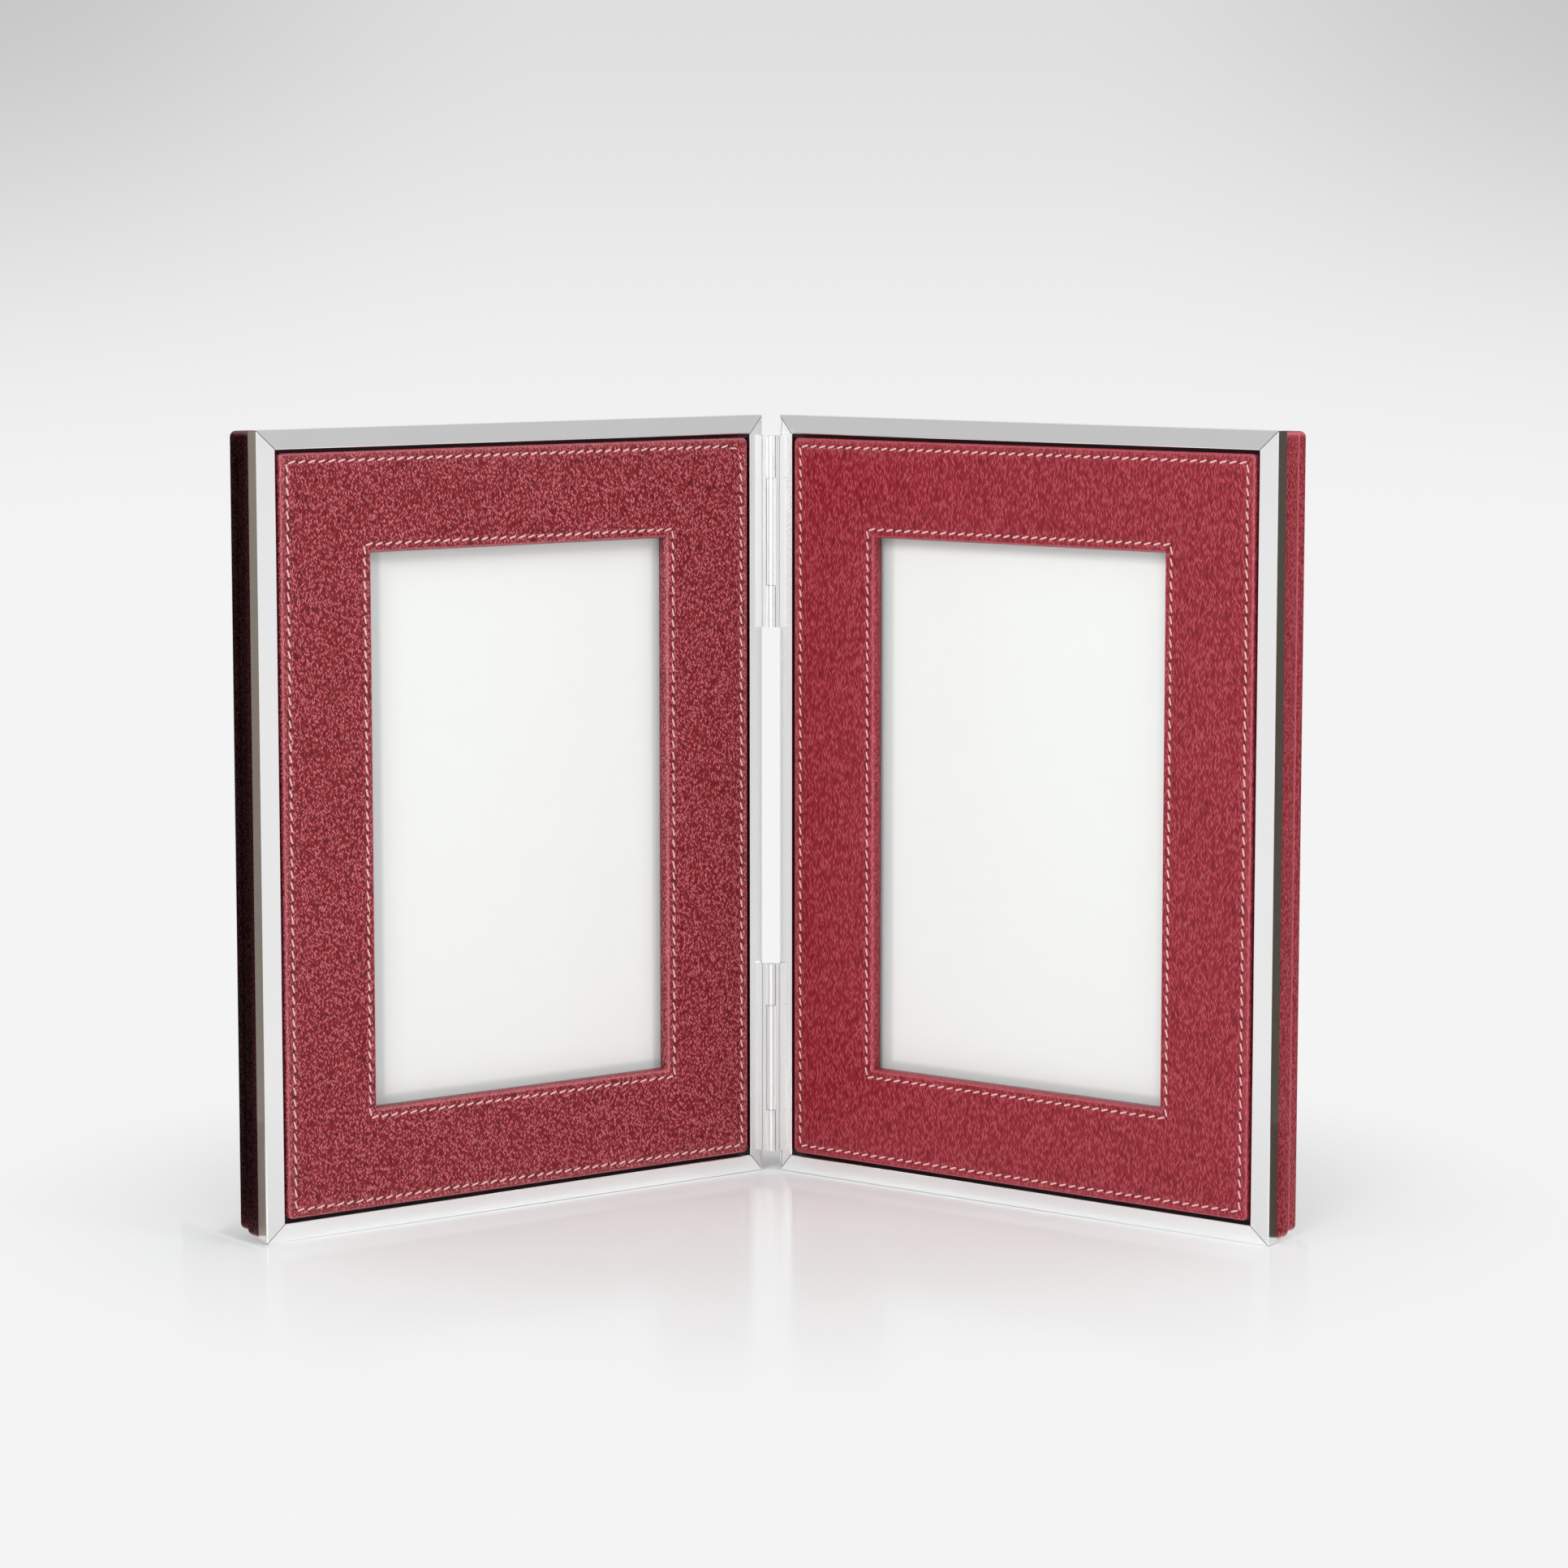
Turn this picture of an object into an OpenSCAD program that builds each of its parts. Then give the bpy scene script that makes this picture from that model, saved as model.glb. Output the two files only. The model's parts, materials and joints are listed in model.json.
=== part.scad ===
// Double photo frame: two leather-matted leaves in mitred metal rails,
// joined like a book by two small butt hinges. Each leaf has a lift-off back panel.
// Leaf coordinates: x runs outwards from the hinge axis, y from front to back, z up.

/* [Leaf] */
// Width of one leaf over its rails
leaf_w = 160; // [145:1:220]
// Height of one leaf over its rails
leaf_h = 210; // [190:1:280]
// Angle between the two fronts as the frame stands
opening_angle = 105; // [60:1:170]
// Gap between the mat face and the plane of the hinge axis
close_gap = 0.3; // [0.2:0.05:0.8]

/* [Rails] */
// Width of the polished front face of a rail
rail_face = 5; // [3.5:0.1:8]
// Height of the inner lip in front of the outer edge
rail_rise = 0.9; // [0.3:0.1:2]
// Depth of the bare side wall
rail_side_d = 4.2; // [3.4:0.1:6]
// Thickness of the rail metal
rail_t = 1; // [0.6:0.1:1.4]
// Thickness of the inner lip
lip_t = 0.8; // [0.5:0.1:1.2]
// Radius of the outer front edge
rail_edge_r = 0.4; // [0.3:0.1:1]
// Radius of the lip edge
lip_edge_r = 0.3; // [0.1:0.05:0.4]
// Hairline left at each mitre
mitre_gap = 0.16; // [0:0.02:0.2]
// Leg length of a corner key
key_leg = 14; // [8:1:24]
// Thickness of a corner key
key_t = 0.6; // [0.4:0.1:0.7]

/* [Mat] */
// Shadow gap between the lip and the mat
mat_gap = 0.9; // [0.5:0.1:2]
// Height of the mat face in front of the lip
mat_proud = 0.5; // [0.1:0.1:1]
// Thickness of the mat board
mat_board_t = 2.5; // [1.5:0.1:4]
// Thickness of the leather
leather_t = 1; // [0.6:0.1:1.4]
// Radius of the mat's outer front edge
mat_edge_r = 1.1; // [0.6:0.1:1.5]
// Radius of the mat's corners seen from the front
mat_corner_r = 1.6; // [0.8:0.1:3]
// Radius of the rolled edge round the window
window_roll_r = 0.8; // [0.4:0.1:1]

/* [Picture] */
// Width of the print
print_w = 101.6; // [80:0.1:105]
// Height of the print
print_h = 152.4; // [120:0.1:156]
// Strip of the print that the mat hides on each side
print_hidden = 3.5; // [1.5:0.1:6]
// Thickness of the glass
glass_t = 2; // [1.5:0.1:3]
// Thickness of the print
print_t = 0.3; // [0.2:0.1:0.6]
// Thickness of the backing board
backing_t = 2.5; // [1.5:0.1:3]
// Play round the glass, print and boards in the pocket
pocket_play = 0.4; // [0.2:0.1:1]

/* [Leather body] */
// Depth of the leather band behind the rails
band_d = 6.4; // [5.6:0.1:10]
// Step of the band in from the rail side
band_inset = 0.4; // [0.2:0.1:1]
// Further clearance of the band above the table
band_lift = 0.3; // [0.2:0.1:2]
// Radius of the band's front and back edges
band_edge_r = 0.7; // [0.3:0.1:1]
// Play between the core and the rail side
core_play = 0.1; // [0.05:0.05:0.2]
// Thickness of the back panel's board
panel_board_t = 3; // [2.3:0.1:4]
// Step of the back panel in from the rail side
panel_inset = 0.5; // [0.5:0.1:2]
// Further clearance of the back panel above the table
panel_lift = 1.2; // [0.2:0.1:3]
// Radius of the back panel's rear edge
panel_edge_r = 1; // [1:0.1:2.6]
// Radius of the leather body's corners seen from the back
body_corner_r = 1.4; // [0.8:0.1:3]
// Gap between the seated back panel and the leaf
seat_gap = 0.2; // [0.1:0.05:0.3]
// Diameter of a magnet
magnet_d = 8; // [4:0.5:12]
// Thickness of a magnet
magnet_t = 2; // [1:0.1:2]
// Glue gap round a magnet or a screw
glue_gap = 0.05; // [0.02:0.01:0.1]

/* [Hinge] */
// Distance from the hinge axis to the rail side
hinge_gap = 1.6; // [1.6:0.05:2.6]
// Height of a hinge
hinge_h = 52.6; // [36:0.1:70]
// Distance from the leaf's end to the hinge
hinge_end = 5.6; // [3:0.1:20]
// Height of an end knuckle
end_knuckle_h = 11.5; // [6:0.1:16]
// Diameter of the knuckles
knuckle_d = 2.6; // [2.4:0.1:3.2]
// Diameter of the hinge pin
pin_d = 1.4; // [0.8:0.1:1.6]
// Running clearance round the pin
pin_play = 0.04; // [0.02:0.01:0.08]
// Gap between neighbouring knuckles
knuckle_play = 0.15; // [0.05:0.05:0.3]
// Thickness of a hinge flap
flap_t = 0.8; // [0.5:0.1:1]
// Strip of rail side left bare behind the flap
flap_margin = 0.2; // [0.1:0.1:0.5]
// Screws in each flap
screws = 3; // [2:1:4]
// Diameter of a screw's shank
screw_d = 1.2; // [0.8:0.1:1.4]
// Diameter of a screw's countersunk head
screw_head_d = 2.2; // [1.6:0.1:2.4]
// Length of a screw
screw_l = 5.5; // [4:0.1:8]
// Distance from a screw's centre to the flap's rear edge
screw_in = 1.2; // [1.2:0.05:1.3]

/* [Hidden] */
$fn = 48;
edge_steps = 8;

// Stations from front to back, measured from the plane of the hinge axis
mat_y = close_gap;
lip_y = mat_y + mat_proud;
rail_y = lip_y + rail_rise;
rail_end_y = rail_y + rail_side_d;
board_y = mat_y + leather_t;
core_y = board_y + mat_board_t;
print_y = core_y + glass_t;
backing_y = print_y + print_t;
backing_end_y = backing_y + backing_t;
band_end_y = rail_end_y + band_d;
panel_y = band_end_y + seat_gap;
panel_board_end_y = panel_y + panel_board_t;
back_y = panel_board_end_y + leather_t;

// Insets from the rail side
mat_inset = rail_face + mat_gap;
core_front_inset = rail_t + core_play;
core_inset = band_inset + leather_t;
magnet_inset = (min(leaf_w - print_w, leaf_h - print_h) / 2 - pocket_play) / 2;

window_w = print_w - 2 * print_hidden;
window_h = print_h - 2 * print_hidden;
overrun = rail_t;
mid_x = hinge_gap + leaf_w / 2;
mid_z = leaf_h / 2;

flap_y = rail_end_y - flap_margin;
screw_y = flap_y - screw_in;
upper_hinge_z = leaf_h - hinge_end - hinge_h;
screw_pitch = hinge_h / screws;

// The origin lies under the middle of the standing frame's box
half_turn = (180 - opening_angle) / 2;
front_reach = (hinge_gap + leaf_w - rail_edge_r) * sin(half_turn)
    - (rail_y + rail_edge_r) * cos(half_turn) + rail_edge_r;
back_reach = (back_y - panel_edge_r) * cos(half_turn)
    - (hinge_gap + panel_inset + panel_edge_r) * sin(half_turn) + panel_edge_r;
axis_y = (front_reach - back_reach) / 2;

// Points of an arc about [cx, cy], from one angle to another
function arc(cx, cy, r, from, to) =
    [for (i = [0:edge_steps]) let (a = from + (to - from) * i / edge_steps)
        [cx + r * cos(a), cy + r * sin(a)]];

// An eased corner, or a sharp one where the radius is zero
function corner(cx, cy, r, from, to) = r > 0 ? arc(cx, cy, r, from, to) : [[cx, cy]];

// Half of a section across a slab: half its width against its depth, with eased edges
function eased_half(half, y0, y1, r0, r1) =
    concat(corner(half - r0, y0 + r0, r0, -90, 0), corner(half - r1, y1 - r1, r1, 0, 90));

// Half of a section through a window, flared at the front by the roll of the leather
function flared_half(half, y0, y1, r) =
    concat([[half + r, y0 - overrun]], arc(half + r, y0 + r, -r, 90, 0), [[half, y1 + overrun]]);

// Both halves of a section, as one closed outline
function mirrored(points) =
    concat(points, [for (i = [len(points) - 1:-1:0]) [-points[i][0], points[i][1]]]);

module right_leaf() {
    translate([0, axis_y, 0]) rotate([0, 0, -half_turn]) children();
}

module left_leaf() {
    mirror([1, 0, 0]) right_leaf() children();
}

// Extrudes an outline of depth against width along the height
module along_z(length) {
    translate([0, 0, -length / 2]) linear_extrude(length) children();
}

// Extrudes an outline of depth against height along the width
module along_x(length) {
    mirror([1, 0, -1]) along_z(length) children();
}

// Extrudes an outline of width against height along the depth
module along_y(y0, y1) {
    translate([0, y1, 0]) rotate([90, 0, 0]) linear_extrude(y1 - y0) children();
}

// A plain block centred on the leaf
module block(w, h, y0, y1) {
    translate([mid_x - w / 2, y0, mid_z - h / 2]) cube([w, y1 - y0, h]);
}

// A block with the same inset all round and a further lift at its foot
module inset_block(inset, lift, y0, y1) {
    translate([hinge_gap + inset, y0, inset + lift])
        cube([leaf_w - 2 * inset, y1 - y0, leaf_h - 2 * inset - lift]);
}

// An inset block with eased front and back edges and rounded corners
module eased_block(inset, lift, y0, y1, front_r, back_r, corner_r) {
    w = leaf_w - 2 * inset;
    h = leaf_h - 2 * inset - lift;
    translate([mid_x, 0, mid_z + lift / 2]) intersection() {
        along_z(h) polygon(mirrored(eased_half(w / 2, y0, y1, front_r, back_r)));
        along_x(w) polygon(mirrored(eased_half(h / 2, y0, y1, front_r, back_r)));
        along_y(y0, y1) rounded_outline(w, h, corner_r);
    }
}

module rounded_outline(w, h, r) {
    square([w - 2 * r, h], center = true);
    square([w, h - 2 * r], center = true);
    for (sx = [-1, 1], sz = [-1, 1])
        translate([sx * (w / 2 - r), sz * (h / 2 - r)]) circle(r);
}

// The space cut out by the window, flared at the front
module window_space() {
    translate([mid_x, 0, mid_z]) intersection() {
        along_z(2 * leaf_h) polygon(mirrored(flared_half(window_w / 2, mat_y, core_y, window_roll_r)));
        along_x(2 * leaf_w) polygon(mirrored(flared_half(window_h / 2, mat_y, core_y, window_roll_r)));
    }
}

// Section of a rail, drawn as depth against distance in from the rail side
module rail_section() {
    polygon(concat(
        [[rail_end_y, 0]],
        arc(rail_y + rail_edge_r, rail_edge_r, rail_edge_r, 270, 180),
        arc(lip_y + lip_edge_r, rail_face - lip_edge_r, lip_edge_r, 180, 90),
        [[core_y, rail_face],
         [core_y, rail_face - lip_t],
         [lip_y + rail_t, rail_face - lip_t],
         [rail_y + rail_t, rail_t],
         [rail_end_y, rail_t]]));
}

// One rail of a given length along x, mitred at both ends
module rail(length) {
    trim = mitre_gap / sqrt(2);
    intersection() {
        rotate([90, 0, 90]) linear_extrude(length) rail_section();
        along_y(mat_y, rail_end_y + overrun) polygon([
            [trim, 0],
            [length - trim, 0],
            [length - trim - rail_face, rail_face],
            [trim + rail_face, rail_face]]);
    }
}

// Turns what runs along x from the leaf's lower hinge corner so that it runs up the leaf
module upright() {
    mirror([1, 0, -1]) children();
}

module from_outer_side() {
    translate([2 * hinge_gap + leaf_w, 0, 0]) mirror([1, 0, 0]) children();
}

module from_top() {
    translate([0, 0, leaf_h]) mirror([0, 0, 1]) children();
}

module bottom_rail() {
    color("whitesmoke") translate([hinge_gap, 0, 0]) rail(leaf_w);
}

module top_rail() {
    color("silver") from_top() translate([hinge_gap, 0, 0]) rail(leaf_w);
}

module hinge_rail() {
    color("gainsboro") difference() {
        translate([hinge_gap, 0, 0]) upright() rail(leaf_h);
        at_screws() screw_hole();
    }
}

module outer_rail() {
    color("gainsboro") from_outer_side() translate([hinge_gap, 0, 0]) upright() rail(leaf_h);
}

// Flat steel angles that lie in the rails' channel and hold the mitres shut
module corner_key() {
    inset = rail_t + core_play;
    width = rail_face - lip_t - rail_t - 2 * core_play;
    translate([hinge_gap + inset, core_y - key_t, inset]) {
        cube([key_leg, key_t, width]);
        cube([width, key_t, key_leg]);
    }
}

module corner_keys() {
    color("dimgray") {
        corner_key();
        from_outer_side() corner_key();
        from_top() {
            corner_key();
            from_outer_side() corner_key();
        }
    }
}

// Leather drawn over the mat board, round its edges and into the window
module mat_leather() {
    color("firebrick") difference() {
        eased_block(mat_inset, 0, mat_y, core_y, mat_edge_r, 0, mat_corner_r);
        mat_ring(core_y + overrun);
        window_space();
    }
}

// The ring of board under the leather, up to a given depth
module mat_ring(end_y) {
    difference() {
        inset_block(mat_inset + leather_t, 0, board_y, end_y);
        block(window_w + 2 * leather_t, window_h + 2 * leather_t, board_y - overrun, end_y + overrun);
    }
}

module mat_board() {
    color("tan") mat_ring(core_y);
}

module glass() {
    color("lightcyan") block(print_w, print_h, core_y, print_y);
}

module print() {
    color("ghostwhite") block(print_w, print_h, print_y, backing_y);
}

module backing_board() {
    color("dimgray") block(print_w, print_h, backing_y, backing_end_y);
}

// Wooden ring that carries the rails, the mat and the leather band
module core() {
    pocket_w = print_w + 2 * pocket_play;
    pocket_h = print_h + 2 * pocket_play;
    color("saddlebrown") difference() {
        union() {
            inset_block(core_front_inset, 0, core_y, rail_end_y);
            inset_block(core_inset, band_lift, rail_end_y - core_play, band_end_y);
        }
        block(pocket_w, pocket_h, core_y - overrun, band_end_y + overrun);
        at_magnets() magnet(band_end_y - magnet_t, band_end_y + overrun, glue_gap);
        at_screws() screw_hole();
    }
}

module band_leather() {
    color("firebrick") difference() {
        eased_block(band_inset, band_lift, rail_end_y, band_end_y, band_edge_r, band_edge_r, body_corner_r);
        inset_block(core_inset, band_lift, rail_end_y - overrun, band_end_y + overrun);
    }
}

// Four places in the corners of the core
module at_magnets() {
    for (x = [magnet_inset, leaf_w - magnet_inset], z = [magnet_inset, leaf_h - magnet_inset])
        translate([hinge_gap + x, 0, z]) children();
}

module magnet(y0, y1, gap) {
    along_y(y0, y1) circle(d = magnet_d + 2 * gap);
}

module core_magnets() {
    color("lightgray") at_magnets() magnet(band_end_y - magnet_t, band_end_y, 0);
}

module panel_magnets() {
    color("lightgray") at_magnets() magnet(panel_y, panel_y + magnet_t, 0);
}

// Board that drops into the pocket behind the picture
module plug_board() {
    color("tan") block(print_w, print_h, backing_end_y + seat_gap, panel_y);
}

module panel_board() {
    color("tan") difference() {
        inset_block(panel_inset + leather_t, panel_lift, panel_y, panel_board_end_y);
        at_magnets() magnet(panel_y - overrun, panel_y + magnet_t, glue_gap);
    }
}

module panel_leather() {
    color("firebrick") difference() {
        eased_block(panel_inset, panel_lift, panel_y, back_y, band_edge_r, panel_edge_r, body_corner_r);
        inset_block(panel_inset + leather_t, panel_lift, panel_y - overrun, panel_board_end_y);
    }
}

// Every screw's place, with the screw's axis turned into the leaf
module at_screws() {
    for (z = [hinge_end, upper_hinge_z], i = [0:screws - 1])
        translate([hinge_gap - flap_t, screw_y, z + screw_pitch * (i + 1 / 2)])
            rotate([0, 90, 0]) children();
}

module screw(gap) {
    cylinder(d = screw_d + 2 * gap, h = screw_l + gap);
    cylinder(d1 = screw_head_d + 2 * gap, d2 = screw_d + 2 * gap, h = (screw_head_d - screw_d) / 2);
}

module screw_hole() {
    screw(glue_gap);
    translate([0, 0, -overrun]) cylinder(d = screw_head_d + 2 * glue_gap, h = overrun);
}

module hinge_screws() {
    color("gainsboro") at_screws() screw(0);
}

// Stretches of the hinge that the end knuckles and the middle knuckle take up
function end_knuckles() = [[0, end_knuckle_h], [hinge_h - end_knuckle_h, hinge_h]];
function middle_knuckle() = [[end_knuckle_h + knuckle_play, hinge_h - end_knuckle_h - knuckle_play]];

// A flap with its own knuckles, cut back round its partner's
module hinge_flap(z, own, others) {
    knuckle_r = knuckle_d / 2;
    difference() {
        translate([0, 0, z]) {
            difference() {
                translate([hinge_gap - flap_t, mat_y, 0]) cube([flap_t, flap_y - mat_y, hinge_h]);
                for (k = others)
                    translate([0, 0, k[0] - knuckle_play])
                        cylinder(r = knuckle_r + knuckle_play, h = k[1] - k[0] + 2 * knuckle_play);
            }
            for (k = own) {
                translate([0, 0, k[0]]) cylinder(r = knuckle_r, h = k[1] - k[0]);
                translate([0, mat_y, k[0]]) cube([hinge_gap, knuckle_r - mat_y, k[1] - k[0]]);
            }
        }
        translate([0, 0, z - overrun]) cylinder(d = pin_d + 2 * pin_play, h = hinge_h + 2 * overrun);
        at_screws() screw_hole();
    }
}

module left_flap(z) {
    color("white") left_leaf() hinge_flap(z, end_knuckles(), middle_knuckle());
}

module right_flap(z) {
    color("white") right_leaf() hinge_flap(z, middle_knuckle(), end_knuckles());
}

module hinge_pin(z) {
    color("silver") left_leaf() translate([0, 0, z]) cylinder(d = pin_d, h = hinge_h);
}

left_leaf() top_rail();  // left_top_rail
left_leaf() bottom_rail();  // left_bottom_rail
left_leaf() outer_rail();  // left_outer_rail
left_leaf() hinge_rail();  // left_hinge_rail
left_leaf() corner_keys();  // left_corner_keys
left_leaf() mat_board();  // left_mat_board
left_leaf() mat_leather();  // left_mat_leather
left_leaf() glass();  // left_glass
left_leaf() print();  // left_print
left_leaf() backing_board();  // left_backing_board
left_leaf() core();  // left_core
left_leaf() band_leather();  // left_band_leather
left_leaf() core_magnets();  // left_core_magnets
left_leaf() hinge_screws();  // left_hinge_screws
left_leaf() plug_board();  // left_plug_board
left_leaf() panel_board();  // left_panel_board
left_leaf() panel_leather();  // left_panel_leather
left_leaf() panel_magnets();  // left_panel_magnets
right_leaf() top_rail();  // right_top_rail
right_leaf() bottom_rail();  // right_bottom_rail
right_leaf() outer_rail();  // right_outer_rail
right_leaf() hinge_rail();  // right_hinge_rail
right_leaf() corner_keys();  // right_corner_keys
right_leaf() mat_board();  // right_mat_board
right_leaf() mat_leather();  // right_mat_leather
right_leaf() glass();  // right_glass
right_leaf() print();  // right_print
right_leaf() backing_board();  // right_backing_board
right_leaf() core();  // right_core
right_leaf() band_leather();  // right_band_leather
right_leaf() core_magnets();  // right_core_magnets
right_leaf() hinge_screws();  // right_hinge_screws
right_leaf() plug_board();  // right_plug_board
right_leaf() panel_board();  // right_panel_board
right_leaf() panel_leather();  // right_panel_leather
right_leaf() panel_magnets();  // right_panel_magnets
left_flap(upper_hinge_z);  // upper_hinge_left_flap
right_flap(upper_hinge_z);  // upper_hinge_right_flap
hinge_pin(upper_hinge_z);  // upper_hinge_pin
left_flap(hinge_end);  // lower_hinge_left_flap
right_flap(hinge_end);  // lower_hinge_right_flap
hinge_pin(hinge_end);  // lower_hinge_pin
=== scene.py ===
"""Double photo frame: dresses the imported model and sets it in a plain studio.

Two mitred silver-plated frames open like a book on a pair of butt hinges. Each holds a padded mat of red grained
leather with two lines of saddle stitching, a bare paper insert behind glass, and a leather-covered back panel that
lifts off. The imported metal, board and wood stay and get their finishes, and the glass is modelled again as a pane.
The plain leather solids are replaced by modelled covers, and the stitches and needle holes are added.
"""
import json
import logging
import math
from abc import ABC, abstractmethod
from dataclasses import dataclass, field
from enum import Enum
from functools import cache
from typing import Any, Callable, Iterator

import bpy
from mathutils import Matrix, Vector


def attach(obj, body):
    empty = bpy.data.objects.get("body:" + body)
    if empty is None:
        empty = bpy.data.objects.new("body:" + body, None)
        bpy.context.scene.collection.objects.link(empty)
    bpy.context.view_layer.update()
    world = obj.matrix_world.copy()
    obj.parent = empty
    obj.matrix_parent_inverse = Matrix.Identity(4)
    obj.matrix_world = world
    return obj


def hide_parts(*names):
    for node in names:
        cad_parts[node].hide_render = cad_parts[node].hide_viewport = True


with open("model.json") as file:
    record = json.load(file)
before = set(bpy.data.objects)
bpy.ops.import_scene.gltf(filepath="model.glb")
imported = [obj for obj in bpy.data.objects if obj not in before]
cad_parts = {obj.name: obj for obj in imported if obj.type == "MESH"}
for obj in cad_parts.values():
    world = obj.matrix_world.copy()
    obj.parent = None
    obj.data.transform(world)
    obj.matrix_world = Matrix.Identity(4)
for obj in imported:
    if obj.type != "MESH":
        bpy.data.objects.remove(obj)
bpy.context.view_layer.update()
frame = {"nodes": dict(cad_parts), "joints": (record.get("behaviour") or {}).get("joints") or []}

LOG = logging.getLogger("photo_frame")
MM = 0.001
WELD = 0.002 * MM  # points closer than this are one
HAIR = 0.02 * MM  # how exactly a place is told
BEND = "bend"  # the attribute that notes how far the leather bends, and masks the painted highlight on bent edges
SIDE_EXTRA = 1.1 * MM  # how much wider the mat is beside its window than above and below it
SIDE_START, SIDE_RAMP = 6 * MM, 14 * MM  # inset where that width starts to come in, and how far it takes
Test = Callable[[Vector, Vector], bool]
Rings = list[tuple[float, float]]


class Side(Enum):
    """The two leaves, as seen from the front."""

    LEFT = "left"
    RIGHT = "right"


class Part(Enum):
    """What a selection in edit mode is made of."""

    FACE = "FACE"
    EDGE = "EDGE"
    VERT = "VERT"


# Small tools for the mesh and the node tree


def srgb(code: str) -> tuple[float, float, float, float]:
    """Turns a hex colour into the linear values that the shaders read.

    Args:
        code: The colour as six hex digits after a hash sign.

    Returns:
        Linear red, green and blue, and an alpha of one.
    """
    parts = [int(code[i : i + 2], 16) / 255 for i in (1, 3, 5)]
    red, green, blue = (c / 12.92 if c <= 0.04045 else ((c + 0.055) / 1.055) ** 2.4 for c in parts)
    return red, green, blue, 1.0


def add_node(
    tree: bpy.types.NodeTree, kind: str, links: dict[Any, Any] | None = None, **settings: Any
) -> bpy.types.Node:
    """Adds a node with its settings, its values and what feeds it.

    Args:
        tree: The node tree that gets the node.
        kind: The node's type.
        links: An output socket or a plain value for each input, by name or place.
        **settings: The node's own properties.

    Returns:
        The new node.
    """
    node = tree.nodes.new(kind)
    for name, value in settings.items():
        setattr(node, name, value)
    for name, value in (links or {}).items():
        if isinstance(value, bpy.types.NodeSocket):
            tree.links.new(value, node.inputs[name])
        else:
            node.inputs[name].default_value = value
    return node


def take(obj: bpy.types.Object) -> None:
    """Makes an object the only one that is selected, and the active one."""
    if bpy.context.mode != "OBJECT":
        bpy.ops.object.mode_set(mode="OBJECT")
    bpy.ops.object.select_all(action="DESELECT")
    obj.select_set(True)
    bpy.context.view_layer.objects.active = obj


def pick(obj: bpy.types.Object, part: Part, test: Test) -> None:
    """Selects faces, edges or points in edit mode by a test, and nothing else.

    Args:
        obj: The active mesh object.
        part: What is picked.
        test: Gets a face's centre and normal, an edge's two ends, or a point's place and normal.
    """
    bpy.ops.object.mode_set(mode="EDIT")
    bpy.ops.mesh.select_mode(type=part.value)
    bpy.ops.mesh.select_all(action="DESELECT")
    bpy.ops.object.mode_set(mode="OBJECT")
    mesh = obj.data
    if part is Part.FACE:
        for face in mesh.polygons:
            face.select = test(face.center, face.normal)
    elif part is Part.VERT:
        for vertex in mesh.vertices:
            vertex.select = test(vertex.co, vertex.normal)
    else:
        for edge in mesh.edges:
            start, end = (mesh.vertices[i].co for i in edge.vertices)
            edge.select = test(start, end)
    bpy.ops.object.mode_set(mode="EDIT")


def finish_mesh(obj: bpy.types.Object, angle: float = 40.0) -> None:
    """Leaves edit mode, turns the faces outwards and shades them smooth below an angle in degrees."""
    bpy.ops.object.mode_set(mode="EDIT")
    bpy.ops.mesh.select_all(action="SELECT")
    bpy.ops.mesh.remove_doubles(threshold=WELD)
    bpy.ops.mesh.normals_make_consistent(inside=False)
    bpy.ops.object.mode_set(mode="OBJECT")
    bpy.ops.object.shade_smooth_by_angle(angle=math.radians(angle))
    obj.data.update()


def add_box(name: str, low: Vector, high: Vector) -> bpy.types.Object:
    """Adds a block between two corners, with its place in its mesh, ready to be shaped."""
    bpy.ops.object.select_all(action="DESELECT")
    bpy.ops.mesh.primitive_cube_add(size=1, location=(low + high) / 2, scale=high - low)
    obj = bpy.context.object
    obj.name = obj.data.name = name
    bpy.ops.object.transform_apply(location=True, rotation=True, scale=True)
    return obj


def apply_modifier(obj: bpy.types.Object, kind: str, **settings: Any) -> None:
    """Adds a modifier with its settings and applies it."""
    take(obj)
    modifier = obj.modifiers.new(kind.title(), kind)
    for name, value in settings.items():
        setattr(modifier, name, value)
    bpy.ops.object.modifier_apply(modifier=modifier.name)


def round_over(radius: float, steps: int) -> Rings:
    """Gives the rings of a quarter round, as inset and rise from where it starts.

    Args:
        radius: The radius of the round, in metres.
        steps: How many rings it has.

    Returns:
        Inset and rise of each ring, both counted from the start.
    """
    turns = [math.radians(90 * i / steps) for i in range(1, steps + 1)]
    return [(radius * (1 - math.cos(a)), radius * math.sin(a)) for a in turns]


def upright_inset(inset: float) -> float:
    """Gives the inset on the upright sides, where the mat is a little wider than above and below its window."""
    return inset + SIDE_EXTRA * min(1.0, max(0.0, (inset - SIDE_START) / SIDE_RAMP))


# Where a leaf lies


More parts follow.
